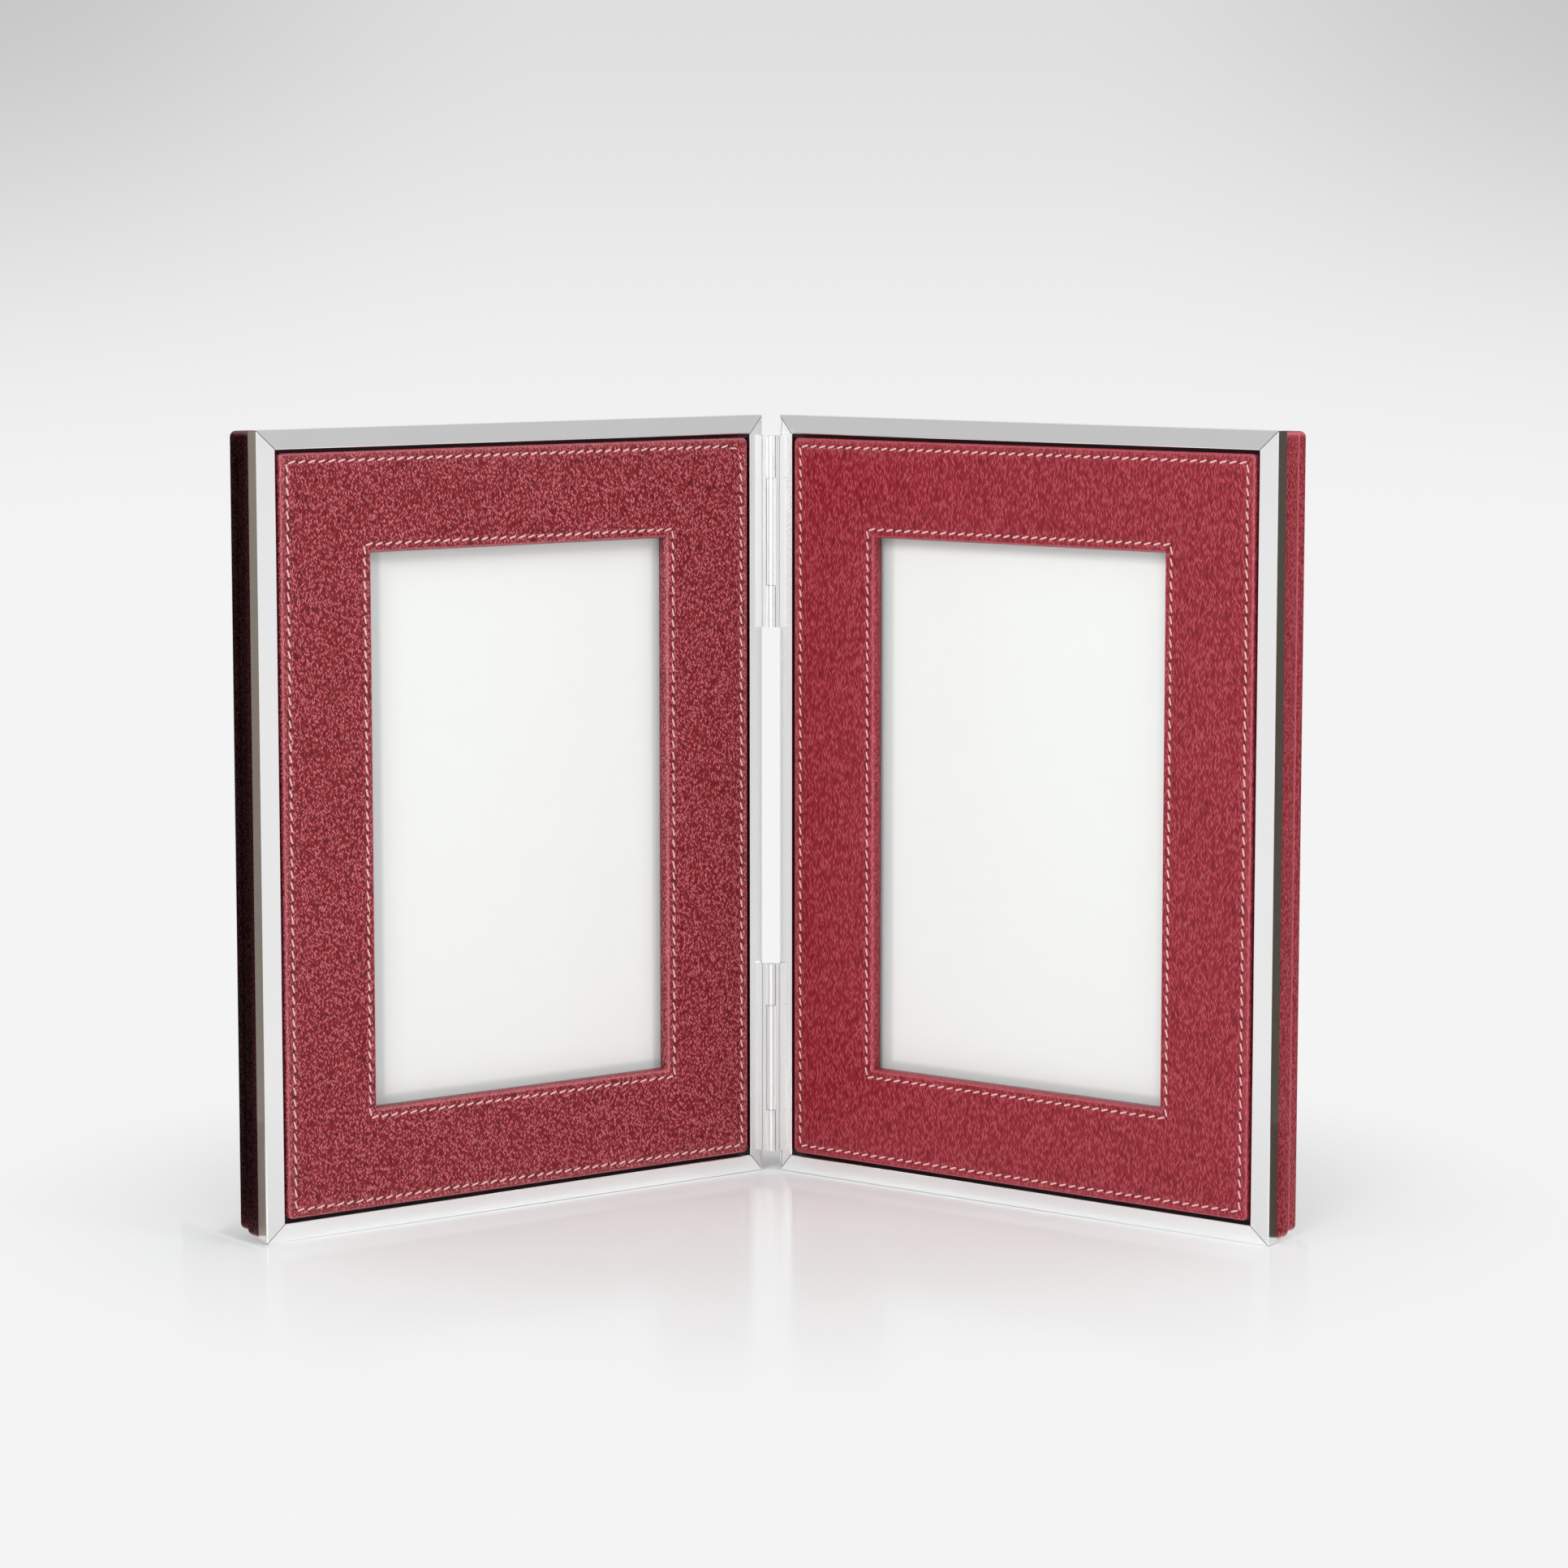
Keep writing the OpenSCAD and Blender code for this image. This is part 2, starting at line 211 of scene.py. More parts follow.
@dataclass(frozen=True)
class LeafFrame:
    """A leaf's own coordinates: x outwards from the hinge axis, y from front to back, z up."""

    side: Side
    axis: tuple[float, float, float]
    turn: float

    @classmethod
    def read(cls, side: Side) -> "LeafFrame":
        """Takes the hinge's axis and the leaf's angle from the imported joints."""
        joints = {joint["name"]: joint for joint in frame["joints"]}
        back = joints[f"{side.value}_panel_lift_off"]["axis"]
        return cls(side, tuple(joints["book_hinge"]["pos_m"]), math.atan2(abs(back[0]), back[1]))

    @property
    def hand(self) -> int:
        """One on the right, and minus one on the left, where the leaf is mirrored."""
        return 1 if self.side is Side.RIGHT else -1

    def to_row(self) -> Matrix:
        """Gives the matrix from the leaf's coordinates to the shared frame."""
        flip = Matrix.Diagonal((self.hand, 1, 1, 1))
        return Matrix.Translation(self.axis) @ flip @ Matrix.Rotation(-self.turn, 4, "Z")

    def node(self, name: str) -> bpy.types.Object:
        """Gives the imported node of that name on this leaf."""
        return frame["nodes"][f"{self.side.value}_{name}"]

    def box(self, name: str) -> tuple[Vector, Vector]:
        """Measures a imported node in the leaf's coordinates.

        Args:
            name: The node's name without its side.

        Returns:
            The lowest and the highest corner, in metres.
        """
        back = self.to_row().inverted()
        points = [back @ vertex.co for vertex in self.node(name).data.vertices]
        return Vector(map(min, *points)), Vector(map(max, *points))

    def place(self, obj: bpy.types.Object, angle: float = 40.0) -> None:
        """Moves a mesh made in the leaf's coordinates into the shared frame."""
        take(obj)
        obj.data.transform(self.to_row())
        finish_mesh(obj, angle)


# Finishes


@dataclass(frozen=True)
class Finish(ABC):
    """A material. Its title says what it is made of."""

    title: str

    @abstractmethod
    def surface(self, tree: bpy.types.NodeTree) -> bpy.types.NodeSocket:
        """Adds the nodes and gives the shader that the surface shows."""

    def pattern(self, tree: bpy.types.NodeTree, turn: float = 0.0) -> bpy.types.NodeSocket:
        """Gives the place on the piece in millimetres, turned about the upright axis."""
        place = add_node(tree, "ShaderNodeTexCoord")
        links = {"Vector": place.outputs["Object"], "Rotation": (0, 0, turn), "Scale": (1 / MM,) * 3}
        return add_node(tree, "ShaderNodeMapping", links).outputs["Vector"]


@cache
def material_of(finish: Finish) -> bpy.types.Material:
    """Builds a finish's material once, and gives it again after that."""
    material = bpy.data.materials.new(finish.title)
    material.use_nodes = True
    tree = material.node_tree
    tree.nodes.clear()
    add_node(tree, "ShaderNodeOutputMaterial", {"Surface": finish.surface(tree)})
    return material


def dress(obj: bpy.types.Object, finish: Finish) -> None:
    """Gives an object one finish all over."""
    if not obj.material_slots:
        obj.data.materials.append(None)
    for slot in obj.material_slots:
        slot.material = material_of(finish)


@dataclass(frozen=True)
class SilverPlate(Finish):
    """Silver plate on brass, rolled and buffed: it mirrors the studio with a slightly soft edge."""

    title: str = "Buffed silver plate, bright"
    tone: str = "#F3F3F3"
    gloss: float = 0.1
    wave: float = 14.0  # mm between the hazier places that buffing leaves
    drift: tuple[float, float] = (-0.02, 0.05)  # how far the roughness drifts from the gloss

    def surface(self, tree: bpy.types.NodeTree) -> bpy.types.NodeSocket:
        """Mirror-like metal whose haze drifts a little along the rail."""
        place = self.pattern(tree)
        haze = add_node(tree, "ShaderNodeTexNoise", {"Vector": place, "Scale": 1 / self.wave, "Detail": 3.0})
        low, high = (self.gloss + drift for drift in self.drift)
        rough = add_node(tree, "ShaderNodeMapRange", {"Value": haze.outputs["Fac"], 3: low, 4: high})
        links = {"Base Color": srgb(self.tone), "Metallic": 1.0, "Roughness": rough.outputs["Result"]}
        return add_node(tree, "ShaderNodeBsdfPrincipled", links).outputs["BSDF"]


@dataclass(frozen=True)
class NickelledSteel(Finish):
    """Nickel-plated steel, left as drawn: a warmer and duller grey than the silver."""

    title: str = "Nickel-plated steel"
    tone: str = "#C4C2BC"
    marks: float = 1.6  # drawing marks per mm
    gloss: tuple[float, float] = (0.24, 0.4)

    def surface(self, tree: bpy.types.NodeTree) -> bpy.types.NodeSocket:
        """Satin metal with fine drawing marks."""
        links = {"Vector": self.pattern(tree), "Scale": self.marks, "Detail": 4.0}
        marks = add_node(tree, "ShaderNodeTexNoise", links)
        low, high = self.gloss
        rough = add_node(tree, "ShaderNodeMapRange", {"Value": marks.outputs["Fac"], 3: low, 4: high})
        links = {"Base Color": srgb(self.tone), "Metallic": 1.0, "Roughness": rough.outputs["Result"]}
        return add_node(tree, "ShaderNodeBsdfPrincipled", links).outputs["BSDF"]


@dataclass(frozen=True)
class GrainedLeather(Finish):
    """Full-grain cowhide, drum-dyed red: short ridges with a painted highlight on their tops and painted shade
    between them, and a low shine.
    """

    turn: float  # radians by which the leaf is turned
    # painted shade: the darker colour laid in the valleys between the ridges
    valley_shade: str
    body: str
    # painted highlight: the lighter colour laid on the ridges' tops
    ridge_highlight: str
    stroke: tuple[float, float]  # mm across and along a ridge
    leans: tuple[float, ...]  # radians by which each set of ridges leans over
    valley: tuple[float, float]  # heights between which the painted shade in the valleys gives way
    peak: tuple[float, float]  # heights between which the painted highlight on the ridges' tops comes in
    ridge_highlight_share: float  # how strong the painted highlight on the ridges' tops is
    depth: float  # mm
    bend_highlight: float  # how strong the painted highlight is where the leather bends round an edge
    shine: float  # the specular level, lower where the leather is less handled
    bends: float = 0.3  # bends of the ridges per mm
    sway: tuple[float, float, float] = (1.2, 0.0, 1.2)  # mm by which they bend
    apart: float = 7.3  # cells between two sets of ridges in the pattern
    roughness: float = 0.32
    ior: float = 1.5

    def ridges(self, tree: bpy.types.NodeTree, place: bpy.types.NodeSocket, lean: float, seed: int) -> Any:
        """Gives the height of one set of ridges.

        Args:
            tree: The material's node tree.
            place: The place on the leather in millimetres.
            lean: The angle in radians by which the ridges lean over.
            seed: Tells the sets apart.

        Returns:
            The height: nearly one on a ridge's middle, and falling evenly away from it.
        """
        across, along = self.stroke
        turned = add_node(tree, "ShaderNodeMapping", {"Vector": place, "Rotation": (0, lean, 0)}).outputs["Vector"]
        scale = (1 / across, 1 / across, 1 / along)
        links = {"Vector": turned, "Scale": scale, "Location": (self.apart * seed, seed, 0)}
        spot = add_node(tree, "ShaderNodeMapping", links).outputs["Vector"]
        near = add_node(tree, "ShaderNodeTexVoronoi", {"Vector": spot, "Scale": 1.0}, feature="F1")
        links = {0: 1.0, 1: near.outputs["Distance"]}
        return add_node(tree, "ShaderNodeMath", links, operation="SUBTRACT").outputs[0]

    def surface(self, tree: bpy.types.NodeTree) -> bpy.types.NodeSocket:
        """Crossing sets of ridges, with painted shade between them, and a painted highlight on their tops and where
        the leather bends.
        """
        place = self.pattern(tree, self.turn)
        drift = add_node(tree, "ShaderNodeTexNoise", {"Vector": place, "Scale": self.bends, "Detail": 2.0})
        links = {0: drift.outputs["Color"], 1: self.sway, 2: place}
        bent = add_node(tree, "ShaderNodeVectorMath", links, operation="MULTIPLY_ADD").outputs["Vector"]
        height = self.ridges(tree, bent, self.leans[0], 0)
        for seed, lean in enumerate(self.leans[1:], 1):
            links = {0: height, 1: self.ridges(tree, bent, lean, seed)}
            height = add_node(tree, "ShaderNodeMath", links, operation="MAXIMUM").outputs[0]
        shares = []
        # the first share lays painted shade in the valleys, the second a painted highlight on the ridges' tops
        for (low, high), top in ((self.valley, 1.0), (self.peak, self.ridge_highlight_share)):
            links = {"Value": height, 1: low, 2: high, 4: top}
            share = add_node(tree, "ShaderNodeMapRange", links, interpolation_type="SMOOTHSTEP")
            shares.append(share.outputs["Result"])
        # painted shade in the valleys, the leather's own red on the ridges
        links = {0: shares[0], 6: srgb(self.valley_shade), 7: srgb(self.body)}
        ground = add_node(tree, "ShaderNodeMix", links, data_type="RGBA")
        # painted highlight: the leather is made lighter where the bend attribute says it bends round an edge
        bend = add_node(tree, "ShaderNodeAttribute", attribute_name=BEND)
        links = {0: bend.outputs["Fac"], 1: self.bend_highlight, 2: shares[1]}
        light = add_node(tree, "ShaderNodeMath", links, operation="MULTIPLY_ADD", use_clamp=True)
        links = {0: light.outputs[0], 6: ground.outputs[2], 7: srgb(self.ridge_highlight)}
        colour = add_node(tree, "ShaderNodeMix", links, data_type="RGBA")
        bump = add_node(tree, "ShaderNodeBump", {"Height": height, "Strength": 1.0, "Distance": self.depth * MM})
        links = {
            "Base Color": colour.outputs[2],
            "Roughness": self.roughness,
            "IOR": self.ior,
            "Specular IOR Level": self.shine,
            "Normal": bump.outputs["Normal"],
        }
        return add_node(tree, "ShaderNodeBsdfPrincipled", links).outputs["BSDF"]


@dataclass(frozen=True)
class WaxedThread(Finish):
    """Waxed linen thread, dyed pale pink: a soft shine along each twisted stitch."""

    title: str = "Waxed linen thread"
    tone: str = "#F3CDCB"
    hollow: str = "#DDA3A3"  # between the plies
    plies: float = 3.5  # marks per mm
    relief: float = 0.08  # mm
    roughness: float = 0.42

    def surface(self, tree: bpy.types.NodeTree) -> bpy.types.NodeSocket:
        """A pale thread with the twist of its plies as a fine relief."""
        place = self.pattern(tree)
        twist = add_node(tree, "ShaderNodeTexNoise", {"Vector": place, "Scale": self.plies, "Detail": 2.0})
        links = {0: twist.outputs["Fac"], 6: srgb(self.hollow), 7: srgb(self.tone)}
        colour = add_node(tree, "ShaderNodeMix", links, data_type="RGBA")
        links = {"Height": twist.outputs["Fac"], "Strength": 0.5, "Distance": self.relief * MM}
        bump = add_node(tree, "ShaderNodeBump", links)
        links = {"Base Color": colour.outputs[2], "Roughness": self.roughness, "Normal": bump.outputs["Normal"]}
        return add_node(tree, "ShaderNodeBsdfPrincipled", links).outputs["BSDF"]


@dataclass(frozen=True)
class PlainSolid(Finish):
    """A matt fibrous material, such as paper, board or stained wood, with a slight mottle."""

    light: str
    dark: str
    grain: tuple[float, float, float] = (0.5, 0.5, 0.5)  # marks per mm along each axis
    roughness: float = 0.8
    relief: float = 0.02  # mm

    def surface(self, tree: bpy.types.NodeTree) -> bpy.types.NodeSocket:
        """Two close tones, mixed by a noise that follows the fibres."""
        fibres = add_node(tree, "ShaderNodeMapping", {"Vector": self.pattern(tree), "Scale": self.grain})
        links = {"Vector": fibres.outputs["Vector"], "Scale": 1.0, "Detail": 4.0}
        noise = add_node(tree, "ShaderNodeTexNoise", links)
        links = {0: noise.outputs["Fac"], 6: srgb(self.dark), 7: srgb(self.light)}
        colour = add_node(tree, "ShaderNodeMix", links, data_type="RGBA")
        links = {"Height": noise.outputs["Fac"], "Strength": 0.3, "Distance": self.relief * MM}
        bump = add_node(tree, "ShaderNodeBump", links)
        links = {"Base Color": colour.outputs[2], "Roughness": self.roughness, "Normal": bump.outputs["Normal"]}
        return add_node(tree, "ShaderNodeBsdfPrincipled", links).outputs["BSDF"]


@dataclass(frozen=True)
class ClearGlass(Finish):
    """Coated picture glass, 2 mm: its coating takes nearly all of the mirror image away, so the paper stays plain."""

    title: str = "Coated picture glass"
    tone: str = "#FCFFFE"
    ior: float = 1.12  # lower than bare glass, for the coating

    def surface(self, tree: bpy.types.NodeTree) -> bpy.types.NodeSocket:
        """Glass to the eye, and clear to the light that falls through it."""
        links = {"Base Color": srgb(self.tone), "Roughness": 0.0, "IOR": self.ior, "Transmission Weight": 1.0}
        glass = add_node(tree, "ShaderNodeBsdfPrincipled", links)
        clear = add_node(tree, "ShaderNodeBsdfTransparent")
        path = add_node(tree, "ShaderNodeLightPath")
        links = {0: path.outputs["Is Shadow Ray"], 1: path.outputs["Is Diffuse Ray"]}
        through = add_node(tree, "ShaderNodeMath", links, operation="MAXIMUM")
        links = {0: through.outputs[0], 1: glass.outputs[0], 2: clear.outputs[0]}
        return add_node(tree, "ShaderNodeMixShader", links).outputs[0]


@dataclass(frozen=True)
class PaperInsertPaintedShade(Finish):
    """Plain insert paper: off-white laid stock, with a soft grey band of painted shade along its left and its lower
    side.
    """

    turn: float  # radians by which the leaf is turned
    left: float  # mm, where the painted shade on the left has faded, as the picture is seen
    low: float  # mm, where the painted shade along the lower side has faded
    tone: str = "#F3F3F2"
    # painted shade along the window's left and lower edges
    edge_shade_tone: str = "#DCDEDE"
    fade: float = 1.9  # mm
    mottle: float = 1.4  # marks per mm
    relief: float = 0.01  # mm
    roughness: float = 0.8

    def surface(self, tree: bpy.types.NodeTree) -> bpy.types.NodeSocket:
        """Off-white stock with a faint laid mottle, and two grey bands of painted shade that fade inwards."""
        place = self.pattern(tree, self.turn)
        apart = add_node(tree, "ShaderNodeSeparateXYZ", {"Vector": place})
        bands = []
        for axis, edge in (("X", self.left), ("Z", self.low)):
            links = {"Value": apart.outputs[axis], 1: edge - self.fade, 2: edge, 3: 1.0, 4: 0.0}
            band = add_node(tree, "ShaderNodeMapRange", links, interpolation_type="SMOOTHSTEP")
            bands.append(band.outputs["Result"])
        either = add_node(tree, "ShaderNodeMath", {0: bands[0], 1: bands[1]}, operation="MAXIMUM")
        links = {0: either.outputs[0], 6: srgb(self.tone), 7: srgb(self.edge_shade_tone)}
        colour = add_node(tree, "ShaderNodeMix", links, data_type="RGBA")
        mottle = add_node(tree, "ShaderNodeTexNoise", {"Vector": place, "Scale": self.mottle, "Detail": 3.0})
        links = {"Height": mottle.outputs["Fac"], "Strength": 0.2, "Distance": self.relief * MM}
        bump = add_node(tree, "ShaderNodeBump", links)
        links = {"Base Color": colour.outputs[2], "Roughness": self.roughness, "Normal": bump.outputs["Normal"]}
        return add_node(tree, "ShaderNodeBsdfPrincipled", links).outputs["BSDF"]


GREY_BOARD = PlainSolid("Pressed grey board", "#A89880", "#8E8069", (0.8, 0.8, 0.8), 0.85)
BLACK_WOOD = PlainSolid("Black-stained beech", "#171311", "#0D0A09", (1.2, 1.2, 0.12), 0.55)
# dark lozenges of painted shade where the needle holes are
NEEDLE_HOLE_SHADE = PlainSolid("Needle-hole painted shade", "#4E1018", "#3A0A10", (2.0, 2.0, 2.0), 0.8)

NODE_FINISHES: dict[str, Finish] = {
    "top_rail": SilverPlate(),
    # a lighter tone on the bottom rails: a brighter copy of the same plate, standing in as painted reflection
    "bottom_rail": SilverPlate("Buffed silver plate, foot painted brighter", tone="#FDFDFD"),
    "outer_rail": SilverPlate(),
    "hinge_rail": SilverPlate("Buffed silver plate, satin", gloss=0.16),
    "corner_keys": NickelledSteel(),
    "hinge_screws": NickelledSteel(),
    "core_magnets": NickelledSteel(),
    "panel_magnets": NickelledSteel(),
    "mat_board": GREY_BOARD,
    "plug_board": GREY_BOARD,
    "panel_board": GREY_BOARD,
    "backing_board": GREY_BOARD,
    "core": BLACK_WOOD,
}

# One leather on both leaves, given as lit and shaded copies: the left leaf gets darker tones and a stronger painted
# highlight, the right leaf lighter tones, for how the light falls on each; the ridges' size and lean differ too
LEATHERS_LIT_PER_LEAF: dict[Side, dict[str, Any]] = {
    Side.LEFT: {
        "valley_shade": "#560811", "body": "#891721", "ridge_highlight": "#DE818C", "stroke": (0.42, 1.5), "leans": (0.62, -0.4),
        "valley": (0.35, 0.56), "peak": (0.64, 0.84), "ridge_highlight_share": 0.95, "depth": 0.28,
    },
    Side.RIGHT: {
        "valley_shade": "#6E131E", "body": "#921F2B", "ridge_highlight": "#CC6774", "stroke": (0.42, 2.4), "leans": (0.3, -0.3),
        "valley": (0.35, 0.55), "peak": (0.64, 0.82), "ridge_highlight_share": 0.65, "depth": 0.1,
    },
}


# Leather covers


FACING = 0.9  # how squarely a picked face looks to the front or back
EDGE_STEPS = 6  # rings or segments of a small round


@dataclass
class Cover:
    """A piece of leather on a leaf, pasted over board or wood."""

    leaf: LeafFrame
    body: str
    node: str
    name: str
    corner: float = 1.6 * MM
    skin: float = 0.9 * MM
    # how strong the painted highlight on the cover's bent edges is
    bend_highlight: float = 0.55  # this and the shine go to the leather's finish
    shine: float = 0.3

    def finish(self) -> GrainedLeather:
        """Gives this leaf's leather."""
        side = self.leaf.side
        look = {"bend_highlight": self.bend_highlight, "shine": self.shine, **LEATHERS_LIT_PER_LEAF[side]}
        title = f"Red grained cowhide, {side.value} leaf"
        return GrainedLeather(title, turn=self.leaf.hand * self.leaf.turn, **look)

    def complete(self, obj: bpy.types.Object) -> None:
        """Places the shaped leather, gives it its thickness and its finish, and lets it ride."""
        self.note_bends(obj)
        self.leaf.place(obj)
        apply_modifier(obj, "SOLIDIFY", thickness=self.skin, offset=-1.0, use_even_offset=True)
        dress(obj, self.finish())
        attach(obj, self.body)
        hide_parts(f"{self.leaf.side.value}_{self.node}")
        LOG.info("%s: %d faces", obj.name, len(obj.data.polygons))

    def note_bends(self, obj: bpy.types.Object) -> None:
        """Notes at each point how far the leather bends there: zero where it lies flat, and one half way round."""
        take(obj)
        bends = obj.data.attributes.new(BEND, "FLOAT", "POINT")
        for vertex, bend in zip(obj.data.vertices, bends.data):
            straight = max(abs(part) for part in vertex.normal)
            bend.value = min(1.0, (1 - straight) / (1 - math.sqrt(0.5)))

    def inset_face(self, obj: bpy.types.Object, way: int, rings: Rings) -> None:
        """Picks the block's flat front or back face, and insets it again and again along a profile.

        Args:
            obj: The block.
            way: Minus one for the front, and one for the back.
            rings: Inset and rise of each ring, counted from the start. Past the corners' radius a ring is drawn in
                by scale, and keeps its tight corners.
        """
        low, high = self.leaf.box(self.node)
        centre, half = (low + high) / 2, (high - low) / 2
        pick(obj, Part.FACE, lambda c, n: way * n.y > FACING and abs(c.x - centre.x) < MM)
        inset = rise = 0.0
        for next_inset, next_rise in rings:
            if next_inset < self.corner - HAIR:
                bpy.ops.mesh.inset(thickness=next_inset - inset, depth=next_rise - rise)
            else:
                step = (0, way * (next_rise - rise), 0)
                wide = (half.x - upright_inset(next_inset)) / (half.x - upright_inset(inset))
                scale = (wide, 1, (half.z - next_inset) / (half.z - inset))
                bpy.ops.mesh.extrude_region_move(TRANSFORM_OT_translate={"value": step})
                bpy.ops.transform.resize(value=scale, center_override=centre)
            inset, rise = next_inset, next_rise

    def start(self, front_round: float, back_round: float) -> bpy.types.Object:
        """Adds the block that the leather wraps, short of its rounds, with its upright corners rounded."""
        low, high = self.leaf.box(self.node)
        depth = Vector((0, 1, 0))
        obj = add_box(f"{self.leaf.side.value}_{self.name}", low + depth * front_round, high - depth * back_round)
        take(obj)
        pick(obj, Part.EDGE, lambda a, b: abs(a.y - b.y) > HAIR)
        bpy.ops.mesh.bevel(offset=self.corner, segments=EDGE_STEPS)
        return obj


@dataclass
class MatCover(Cover):
    """The padded mat's leather: rounded outer edge, stitched grooves, and a window rolled back to the glass."""

    node: str = "mat_leather"
    name: str = "mat_cover"
    edge_round: float = 1.1 * MM
    window_roll: float = 1.1 * MM
    roll_depth: float = 1.9 * MM
    window_reach: float = 55 * MM  # more than half of the window's width
    stitch_insets: tuple[float, float] = (2.3 * MM, 24.1 * MM)
    groove: float = 0.2 * MM
    groove_half: float = 1.0 * MM
    sag: float = 0.1 * MM
    stops: tuple[float, ...] = (  # mm from the outer edge, close together at the grooves
        1.2, 1.54, 1.8, 2.05, 2.3, 2.55, 2.8, 3.3, 4.5, 6.5, 9, 13.2,
        17, 20, 22, 23.1, 23.6, 23.85, 24.1, 24.35, 24.6, 25.1,
    )  # fmt: skip
    roll_steps: int = 8

    def depth_at(self, inset: float) -> float:
        """Gives how far below the mat's face the leather lies, away from its edges.

        Args:
            inset: The distance from the mat's outer edge.

        Returns:
            The depth, from the grooves of both stitch lines and the slight sag beside them.
        """
        first, last = self.stitch_insets
        depth = self.sag * abs(math.cos(math.pi * (inset - first) / (last - first))) ** 4
        for line in self.stitch_insets:
            near = abs(inset - line) / self.groove_half
            if near < 1:
                depth += self.groove * (1 + math.cos(math.pi * near)) / 2
        return depth

    def profile(self, width: float) -> Rings:
        """Gives the rings from the outer edge to the window, as inset and rise."""
        base, roll = self.edge_round, self.window_roll
        flat = [(stop * MM, base - self.depth_at(stop * MM)) for stop in self.stops]
        turns = [math.radians(90 * i / self.roll_steps) for i in range(self.roll_steps + 1)]
        window = [
            (width - roll + roll * math.sin(a), base - self.sag - self.roll_depth * (1 - math.cos(a))) for a in turns
        ]
        return round_over(base, EDGE_STEPS) + flat + window

    def build(self) -> None:
        """Models the cover in leaf coordinates, and completes it."""
        obj = self.start(self.edge_round, 0.0)
        self.inset_face(obj, -1, self.profile(self.ring_width()))
        low, high = self.leaf.box(self.node)
        wall = high.y - low.y - self.sag - self.roll_depth
        bpy.ops.mesh.extrude_region_move(TRANSFORM_OT_translate={"value": (0, wall, 0)})
        bpy.ops.mesh.delete(type="FACE")
        pick(obj, Part.FACE, lambda c, n: n.y > FACING and abs(c.y - high.y) < HAIR)
        bpy.ops.mesh.delete(type="FACE")
        self.complete(obj)

    def ring_width(self) -> float:
        """Measures the mat from its outer edge to its window, at the back and below the window."""
        low, high = self.leaf.box(self.node)
        centre = (low + high) / 2
        back = self.leaf.to_row().inverted()
        points = [back @ vertex.co for vertex in self.leaf.node(self.node).data.vertices]
        lower = [p for p in points if p.z < centre.z and p.y > high.y - MM]
        return max(p.z for p in lower if abs(p.x - centre.x) < self.window_reach) - low.z


@dataclass
class BandCover(Cover):
    """The leather round the sides of the wooden core, turned over a soft edge at the rail and at the back."""

    node: str = "band_leather"
    name: str = "band_cover"
    soft: float = 0.6 * MM
    rim: float = 1.0 * MM
    skin: float = 0.25 * MM
    # a stronger painted highlight on the band's rounded edges than on the mat
    bend_highlight: float = 1.2
    shine: float = 0.14

    def build(self) -> None:
        """Models the band as an open sleeve, and completes it."""
        obj = self.start(self.soft, self.soft)
        for way in (-1, 1):
            self.inset_face(obj, way, round_over(self.soft, EDGE_STEPS) + [(self.rim, self.soft)])
            bpy.ops.mesh.delete(type="FACE")
        self.complete(obj)


@dataclass
class PanelCover(Cover):
    """The leather over the back panel, with a soft front edge and a wider round at the back."""

    node: str = "panel_leather"
    name: str = "panel_cover"
    soft: float = 0.6 * MM
    back_round: float = 1.0 * MM
    rim: float = 1.0 * MM
    skin: float = 0.25 * MM
    # a stronger painted highlight on the panel's rounded edges than on the mat
    bend_highlight: float = 1.2
    shine: float = 0.14
    crown: float = 0.1 * MM
    swell: tuple[tuple[float, float], ...] = ((4, 0.5), (9, 0.9), (16, 1.0))  # mm from the edge, share of the crown
    back_steps: int = 8
    front_steps: int = 5

    def build(self) -> None:
        """Models the cover as a shallow tray, and completes it."""
        obj = self.start(self.soft, self.back_round)
        rise = self.back_round - self.crown
        tray = round_over(rise, self.back_steps)
        self.inset_face(obj, 1, tray + [(inset * MM, rise + self.crown * share) for inset, share in self.swell])
        self.inset_face(obj, -1, round_over(self.soft, self.front_steps) + [(self.rim, self.soft)])
        bpy.ops.mesh.delete(type="FACE")
        self.complete(obj)


# Picture


EDGE_SHADE_REACH = {Side.LEFT: 122.0, Side.RIGHT: 38.8}  # mm from the hinge axis, where the painted shade on the left has faded
EDGE_SHADE_RISE = 6.4  # mm of the insert below where its painted shade along the lower side has faded


@dataclass
class Picture:
    """The pane with its seamed edges, and the plain insert behind it."""

    leaf: LeafFrame
    arris: float = 0.25 * MM
    air: float = 0.06 * MM

    def build(self) -> None:
        """Models the pane a hair clear of its neighbours, and dresses the insert."""
        low, high = self.leaf.box("glass")
        clear = Vector((0, self.air, 0))
        pane = add_box(f"{self.leaf.side.value}_pane", low + clear, high - clear)
        take(pane)
        pick(pane, Part.EDGE, lambda a, b: True)
        bpy.ops.mesh.bevel(offset=self.arris, segments=2)
        self.leaf.place(pane, angle=20)
        dress(pane, ClearGlass())
        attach(pane, f"{self.leaf.side.value}_leaf")
        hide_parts(f"{self.leaf.side.value}_glass")
        dress(self.leaf.node("print"), self.insert())
        LOG.info("%s: %.0f x %.0f mm", pane.name, (high.x - low.x) / MM, (high.z - low.z) / MM)

    def insert(self) -> PaperInsertPaintedShade:
        """Gives the insert its finish, with its painted shade where the window's edges show it."""
        side, hand = self.leaf.side, self.leaf.hand
        axis = Matrix.Rotation(hand * self.leaf.turn, 4, "Z") @ Vector(self.leaf.axis)
        left = hand * EDGE_SHADE_REACH[side] + axis.x / MM
        low = self.leaf.box("print")[0].z / MM + EDGE_SHADE_RISE
        title = f"Off-white insert paper, {side.value} leaf"
        return PaperInsertPaintedShade(title, turn=hand * self.leaf.turn, left=left, low=low)


# Stitching


